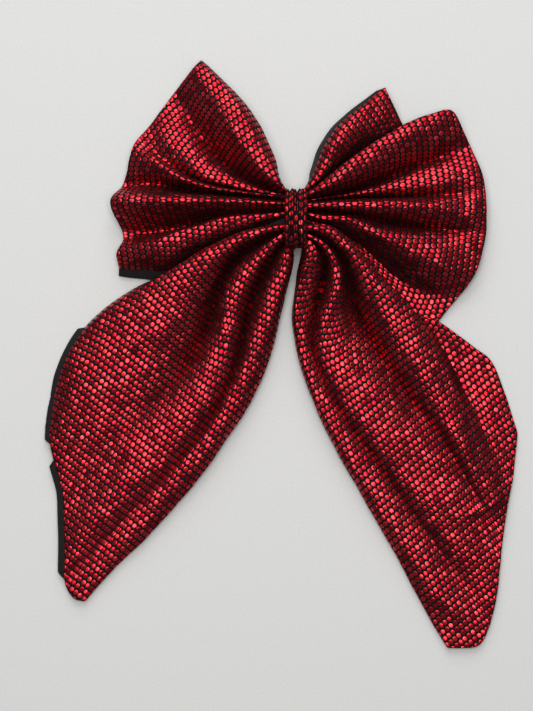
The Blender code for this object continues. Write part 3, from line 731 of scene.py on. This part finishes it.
def foil_dot_material(name, row_gap=DOT_ROW_GAP, pitch=DOT_PITCH):
    """Black knit printed with rows of domed red foil dots, each tilted a little differently, with painted
    shade darkening each dot's middle.
    """
    nodes = Nodes(name)
    uv = nodes.uv()
    cell = (2 * row_gap, pitch, 1.0)
    half = (row_gap, pitch / 2, 0.0)
    flat = nodes.vector("MULTIPLY", uv, (1.0, 1.0, 0.0))
    centre_a = nodes.vector("SNAP", nodes.vector("ADD", flat, half), cell)
    centre_b = nodes.vector("ADD", nodes.vector("SNAP", flat, cell), half)
    offset_a = nodes.vector("SUBTRACT", flat, centre_a)
    offset_b = nodes.vector("SUBTRACT", flat, centre_b)
    nearer_b = nodes.math("GREATER_THAN", nodes.vector("LENGTH", offset_a), nodes.vector("LENGTH", offset_b))
    offset = nodes.mix("VECTOR", nearer_b, offset_a, offset_b)
    centre = nodes.mix("VECTOR", nearer_b, centre_a, centre_b)
    away = nodes.vector("LENGTH", nodes.vector("DIVIDE", offset, (*DOT_SIZE, 1.0)))

    chance = nodes.tree.nodes.new("ShaderNodeTexWhiteNoise")
    chance.noise_dimensions = "3D"
    nodes.put(nodes.vector("ADD", centre, DOT_SEED), chance.inputs["Vector"])
    pick = nodes.tree.nodes.new("ShaderNodeSeparateColor")
    nodes.put(chance.outputs["Color"], pick.inputs[0])

    in_dot = nodes.math("SUBTRACT", 1.0, nodes.smooth(away, *DOT_EDGE))
    edge = nodes.smooth(away, *DOT_CURVE)

    dome = nodes.vector("SCALE", offset, scale=nodes.math("MULTIPLY", edge, DOT_DOME))
    tilt = nodes.vector("SUBTRACT", chance.outputs["Color"], (0.5, 0.5, 0.5))
    tilt = nodes.vector("SCALE", tilt, scale=DOT_TILT)
    slope = nodes.vector("SCALE", nodes.vector("ADD", dome, tilt), scale=in_dot)
    slope = nodes.vector("ADD", nodes.vector("MULTIPLY", slope, (0.5, 0.5, 0.0)), (0.5, 0.5, 1.0))
    facing = nodes.tree.nodes.new("ShaderNodeNormalMap")
    facing.space = "TANGENT"
    facing.uv_map = "cloth"
    nodes.put(slope, facing.inputs["Color"])

    red = nodes.mix("RGBA", pick.outputs[2], *FOIL_REDS)
    # Painted shade: each dot's middle is darkened towards the shade colour, standing in for a domed dot's
    # dimmer reflection there
    painted_dark_middle = nodes.mix("RGBA", PAINTED_DOT_SHADE_SHARE, red, PAINTED_DOT_SHADE)
    red = nodes.mix("RGBA", nodes.smooth(away, *PAINTED_SHADE_MIDDLE), painted_dark_middle, red)
    nodes.set("Base Color", nodes.mix("RGBA", in_dot, KNIT_BLACK, red))
    nodes.set("Metallic", in_dot)
    foil_rough = nodes.between(pick.outputs[0], *FOIL_ROUGHNESS)
    nodes.set("Roughness", nodes.mix("FLOAT", in_dot, KNIT_ROUGHNESS, foil_rough))
    knit = knit_height(nodes, uv, FOIL_RIB)
    ground = nodes.math("MULTIPLY", knit, nodes.math("SUBTRACT", 1.0, in_dot))
    nodes.set("Normal", nodes.bump(ground, strength=0.5, distance=0.00012, normal=facing.outputs[0]))
    nodes.set("Specular IOR Level", 0.08)
    return nodes.material


def lining_material():
    """Matt black knit."""
    nodes = Nodes("black_lining")
    uv = nodes.uv()
    knit = knit_height(nodes, uv, LINING_RIB)
    worn = nodes.noise(uv, scale=LINING_WEAR, detail=3.0)
    nodes.set("Base Color", nodes.mix("RGBA", worn, *LINING_BLACKS))
    nodes.set("Roughness", nodes.between(worn, *LINING_ROUGHNESS))
    nodes.set("Normal", nodes.bump(knit, strength=0.7, distance=0.00018))
    nodes.set("Specular IOR Level", 0.2)
    nodes.set("Sheen Weight", 0.05)
    nodes.set("Sheen Roughness", 0.5)
    return nodes.material


def felt_material():
    """Matt black felt with short crossing fibres."""
    nodes = Nodes("black_felt")
    place = nodes.place()
    fibres = nodes.noise(place, scale=FELT_FIBRES, detail=5.0, roughness=0.75)
    patches = nodes.noise(place, scale=FELT_PATCHES)
    nodes.set("Base Color", nodes.mix("RGBA", patches, *FELT_BLACKS))
    nodes.set("Roughness", nodes.between(fibres, *FELT_ROUGHNESS))
    nodes.set("Normal", nodes.bump(fibres, strength=0.8, distance=0.0004))
    nodes.set("Sheen Weight", 0.4)
    return nodes.material


def thread_material():
    """Twisted black sewing thread."""
    nodes = Nodes("black_thread")
    wave = nodes.tree.nodes.new("ShaderNodeTexWave")
    wave.bands_direction = "DIAGONAL"
    wave.inputs["Scale"].default_value = THREAD_TWIST
    nodes.put(nodes.place(), wave.inputs["Vector"])
    twist = wave.outputs["Fac"]
    nodes.set("Base Color", nodes.mix("RGBA", twist, *THREAD_BLACKS))
    nodes.set("Roughness", nodes.between(twist, *THREAD_ROUGHNESS))
    nodes.set("Normal", nodes.bump(twist, strength=0.8, distance=0.0001))
    return nodes.material


def steel_material():
    """Nickel-plated spring steel, brushed along its length."""
    nodes = Nodes("barrette_steel")
    place = nodes.vector("MULTIPLY", nodes.place(), STEEL_BRUSHING_STRETCH)
    brush = nodes.noise(place, scale=STEEL_BRUSHING, detail=4.0, roughness=0.7)
    smudge = nodes.noise(nodes.place(), scale=STEEL_SMUDGES, detail=3.0)
    nodes.set("Base Color", nodes.mix("RGBA", smudge, *STEEL_GREYS))
    nodes.set("Metallic", 1.0)
    rough = nodes.between(brush, *STEEL_ROUGHNESS)
    nodes.set("Roughness", nodes.math("MULTIPLY_ADD", smudge, STEEL_SMUDGE_ROUGHNESS, rough))
    nodes.set("Normal", nodes.bump(brush, strength=0.25, distance=0.00006))
    return nodes.material


def floor_material():
    """Smooth pale grey, with a faint grain."""
    nodes = Nodes("pale_floor")
    grain = nodes.noise(nodes.place(), scale=FLOOR_GRAIN, detail=4.0)
    nodes.set("Base Color", nodes.mix("RGBA", grain, *FLOOR_GREYS))
    nodes.set("Roughness", nodes.between(grain, *FLOOR_ROUGHNESS))
    nodes.set("Normal", nodes.bump(grain, strength=0.2, distance=0.0003))
    nodes.set("Specular IOR Level", 0.1)
    return nodes.material


# ---- Pieces ----


def crease(grid, creases):
    """Raises or dents the grid along short straight lines, softly."""
    grid = grid.copy()
    for start, end, width, height in creases:
        start = np.array(start, float)
        run = np.array(end, float) - start
        offset = grid[..., :2] - start
        share = (offset @ run) / (run @ run)
        away = np.linalg.norm(offset - share[..., None] * run, axis=-1) / width
        beyond = np.minimum(np.abs(share - 0.5) * 2, CREASE_END)
        grid[..., 2] += height * np.exp(-(away**2) - CREASE_FADE * beyond**4)
    return grid


def make_panel(name, guides, foil, lining, seed, creases=(), bare=(), grain=None):
    """One half of a sewn panel: its foil-dot face and its black lining. bare says where the lining shows."""
    grid, guide_column = loft(guides, ROW_STEP, COLUMN_STEP)
    valleys = [column for column, (kind, _) in zip(guide_column, guides) if kind == "valley"]
    grid = round_outer_edge(relax(grid, RELAX_PASSES, valleys), OUTER_EDGE_PASSES)
    cloth = cloth_coordinates(grid, guides, guide_column, grain)
    grid = crease(ripple(grid, cloth, RIPPLE_DEPTH, seed), creases)
    face_grid, face_cloth = turned_edge(grid, cloth, EDGE_ROLL, EDGE_TURN)
    border = (face_grid.shape[1] - grid.shape[1]) // 2
    creased = [column + border for column in valleys]
    face = cloth_panel(f"{name}_foil_face", face_grid, face_cloth, FACE_THICKNESS, foil, creased)

    under = widen(grid - np.array([0, 0, LINING_DEPTH]), bare)
    under[..., 2] = np.maximum(under[..., 2], LOWEST_LINING)
    lining_grid, lining_cloth = turned_edge(under, cloth, LINING_ROLL, LINING_TURN)
    back = cloth_panel(f"{name}_black_back", lining_grid, lining_cloth, LINING_THICKNESS, lining)
    for piece, layer, slot in ((face, "face", "foil_dot_cloth"), (back, "lining", "black_lining")):
        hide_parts(f"{name}_{layer}")
    return face, back


def widen(grid, bare):
    """Lets the lining stand out past the face: bare holds (side, from, to, mm), shares along that side."""
    grid = grid.copy()
    by_column = grid.swapaxes(0, 1)
    inward = {"rim": grid[::-1], "first": by_column, "last": by_column[::-1]}
    for side, low, high, reach in bare:
        rows = inward[side]
        place = np.linspace(0, 1, rows.shape[1])
        tangent = np.gradient(rows[0], axis=0)
        outward = unit(np.stack([tangent[:, 1], -tangent[:, 0], 0 * place], axis=-1))
        if (outward * (rows[0] - rows[len(WIDER_ROWS)])).sum() < 0:
            outward = -outward
        from_middle = np.abs(place - (low + high) / 2) / ((high - low) / 2)
        amount = reach * np.clip((1 - from_middle) * WIDER_TAPER, 0, 1)
        for row, part in zip(rows, WIDER_ROWS):
            row += outward * (amount * part)[:, None]
    return grid


def ring_shares(around, across):
    """The turn round a ring, from 0 to a full turn, and the share across it, from -1 to 1."""
    return np.linspace(0, 2 * math.pi, around + 1)[:, None], np.linspace(-1, 1, across)[None, :]


def ring_waves(turn, waves):
    """A sum of sine waves round a ring, from (count, start, height) of each."""
    return sum(height * np.sin(count * turn + start) for count, start, height in waves)


def node_middle(node):
    """The middle of a CAD node and its half sizes, in mm."""
    low, high = (np.array(corner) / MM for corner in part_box(node))
    return (low + high) / 2, (high - low) / 2


def make_wrap(foil):
    """The scrunched centre band: a flattened ring, with folds running round it and its edges turned in."""
    middle, half = node_middle("centre_wrap")
    turn, share = ring_shares(*WRAP_GRID)
    wander = ring_waves(turn, WRAP_WANDER)
    place = share + wander + WRAP_FOLD_SHIFT
    folds = WRAP_FOLD_HEIGHT * np.sqrt(np.abs(np.cos(WRAP_FOLDS / 2 * math.pi * place)))
    folds += WRAP_FINE_FOLD_HEIGHT * np.cos(WRAP_FINE_FOLDS * math.pi * (place - 2 * wander))
    pinch = ring_waves(turn, WRAP_PINCH) * share**2
    edge = ramp(np.abs(share), WRAP_EDGE_FROM, 1)
    out = folds - WRAP_INSET + pinch - WRAP_EDGE_DROP * edge**2
    x = middle[0] + half[0] * (share - WRAP_EDGE_INSET * np.sign(share) * edge) + 0 * turn
    y = middle[1] - WRAP_LOWER_BULGE / 2 + (half[1] + WRAP_LOWER_BULGE / 2 + out) * np.cos(turn)
    z = middle[2] + (half[2] + out) * np.sin(turn)
    u = share * half[0] * WRAP_SLACK + 0 * turn
    v = turn / (2 * math.pi) * WRAP_REPEATS * WRAP_DOT_PITCH + 0 * share
    grid = np.dstack([x, y, z])
    return cloth_ring("scrunched_centre_wrap", grid, np.dstack([u, v]), WRAP_THICKNESS, foil)


def make_core(name, node, foil):
    """Gathered cloth inside the wrap: a bundle of pleats pressed together."""
    middle, half = node_middle(node)
    turn, share = ring_shares(*CORE_GRID)
    size = CORE_SIZE + CORE_PLEAT_HEIGHT * np.cos(CORE_PLEATS * turn + CORE_TWIST * share)
    size = size + CORE_FINE_PLEAT_HEIGHT * np.cos(CORE_FINE_PLEATS * turn + CORE_FINE_PLEAT_START)
    closing = 1 - CORE_END_CLOSING * ramp(np.abs(share), CORE_END_FROM, 1)
    x = middle[0] + half[0] * share + 0 * turn
    y = middle[1] + half[1] * size * closing * np.cos(turn)
    z = middle[2] + half[2] * size * closing * np.sin(turn)
    cloth = np.dstack([half[0] * share + 0 * turn, half[1] * turn + 0 * share])
    return cloth_ring(name, np.dstack([x, y, z]), cloth, WRAP_THICKNESS, foil)


def make_felt(felt):
    """The felt pad: soft rounded corners and a slightly uneven edge."""
    middle, half = node_middle("backing_felt")
    bm = bmesh.new()
    bmesh.ops.create_grid(bm, x_segments=FELT_GRID[0], y_segments=FELT_GRID[1], size=1.0)
    for vertex in bm.verts:
        x, y, _ = vertex.co
        fuzz_place = (x * FELT_FUZZ_WAVES[0], y * FELT_FUZZ_WAVES[1], FELT_FUZZ_SEED)
        fuzz = FELT_FUZZ * noise.noise(Vector(fuzz_place))
        along = x * (1 - FELT_END_CURVE * x**12 * y**2)
        across = y * (1 - FELT_END_TAPER * x**20)
        place = middle + half * (along, across, 1)
        vertex.co = (place[0] + fuzz, place[1] + fuzz, place[2])
    bmesh.ops.scale(bm, vec=(MM, MM, MM), verts=bm.verts)
    mesh = bpy.data.meshes.new("soft_backing_felt")
    bm.to_mesh(mesh)
    bm.free()
    mesh.materials.append(felt)
    pad = bpy.data.objects.new("soft_backing_felt", mesh)
    bpy.context.scene.collection.objects.link(pad)
    solid = pad.modifiers.new("Thickness", "SOLIDIFY")
    solid.thickness = 2 * half[2] * MM
    solid.offset = -1
    round_off = pad.modifiers.new("Round", "BEVEL")
    round_off.width = FELT_ROUNDING * MM
    round_off.segments = FELT_ROUNDING_STEPS
    apply_modifiers(pad)
    pad.data.shade_smooth()
    return pad


def make_bow(foil, lining):
    """The two loops ride on the knot; each tail's transform is baked into its mesh."""
    for name, guides, seed, creases, bare in LOOPS:
        for piece in make_panel(name, guides, foil, lining, seed, creases, bare):
            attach(piece, "knot")
    for name, guides, seed, creases, bare, grain in TAILS:
        for piece in make_panel(name, guides, foil, lining, seed, creases, bare, grain):
            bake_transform(piece)


def make_knot(foil, stretched_foil, felt):
    wrap = make_wrap(stretched_foil)
    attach(wrap, "knot")
    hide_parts("centre_wrap")
    pad = make_felt(felt)
    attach(pad, "knot")
    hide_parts("backing_felt")
    for part in ("loop", "tail"):
        core = make_core(f"{part}_pleat_bundle", f"{part}_gathered_core", foil)
        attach(core, "knot")
        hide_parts(f"{part}_gathered_core")


def finish_cad_nodes(frame, steel, thread):
    """The barrette's pieces and the thread keep their shape and get their final material."""
    materials = {"barrette": steel, "clasp": steel, "tension": steel, "gathering": thread}
    for name, node in frame["nodes"].items():
        kind = name.split("_")[0]
        if kind in materials:
            node.data.materials.clear()
            node.data.materials.append(materials[kind])


def make_floor():
    bpy.ops.mesh.primitive_plane_add(size=FLOOR_SIDE, location=(0, 0, FLOOR_Z * MM))
    floor = bpy.context.object
    floor.name = "pale_floor"
    floor.data.materials.append(floor_material())


def make_light(name, size, power, place, colour):
    """A soft square light, in metres and watts, aimed at the bow."""
    data = bpy.data.lights.new(name, "AREA")
    data.shape = "SQUARE"
    data.size = size
    data.energy = power
    data.color = colour
    obj = bpy.data.objects.new(name, data)
    obj.location = place
    aim = Vector((CAMERA_AIM[0] * MM, CAMERA_AIM[1] * MM, 0)) - obj.location
    obj.rotation_euler = aim.to_track_quat("-Z", "Y").to_euler()
    bpy.context.scene.collection.objects.link(obj)


def make_lights():
    for light in LIGHTS:
        make_light(*light)
    world = bpy.data.worlds.new("dim_room")
    bpy.context.scene.world = world
    world.use_nodes = True
    background = world.node_tree.nodes["Background"]
    background.inputs["Color"].default_value = ROOM_COLOUR
    background.inputs["Strength"].default_value = ROOM_STRENGTH


def make_camera():
    """Straight above the bow."""
    data = bpy.data.cameras.new("camera")
    data.lens = data.sensor_width / 2 / (FRAME_LENGTH / 2 / CAMERA_HEIGHT)
    data.clip_start, data.clip_end = CLIP_RANGE
    camera = bpy.data.objects.new("camera", data)
    camera.location = (CAMERA_AIM[0] * MM, CAMERA_AIM[1] * MM, CAMERA_HEIGHT * MM)
    bpy.context.scene.collection.objects.link(camera)
    bpy.context.scene.camera = camera


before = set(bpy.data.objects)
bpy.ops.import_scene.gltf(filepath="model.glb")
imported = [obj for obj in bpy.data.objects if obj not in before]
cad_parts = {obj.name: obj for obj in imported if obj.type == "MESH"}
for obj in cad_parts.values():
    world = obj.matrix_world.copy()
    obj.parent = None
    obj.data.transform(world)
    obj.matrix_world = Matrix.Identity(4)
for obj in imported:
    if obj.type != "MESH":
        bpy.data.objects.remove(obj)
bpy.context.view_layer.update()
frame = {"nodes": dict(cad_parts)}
bpy.context.scene.view_settings.view_transform = "Standard"
make_camera()
make_floor()
make_lights()
foil_cloth = foil_dot_material("foil_dot_cloth")
make_bow(foil_cloth, lining_material())
stretched_cloth = foil_dot_material("stretched_foil_dot_cloth", WRAP_ROW_GAP, WRAP_DOT_PITCH)
make_knot(foil_cloth, stretched_cloth, felt_material())
finish_cad_nodes(frame, steel_material(), thread_material())
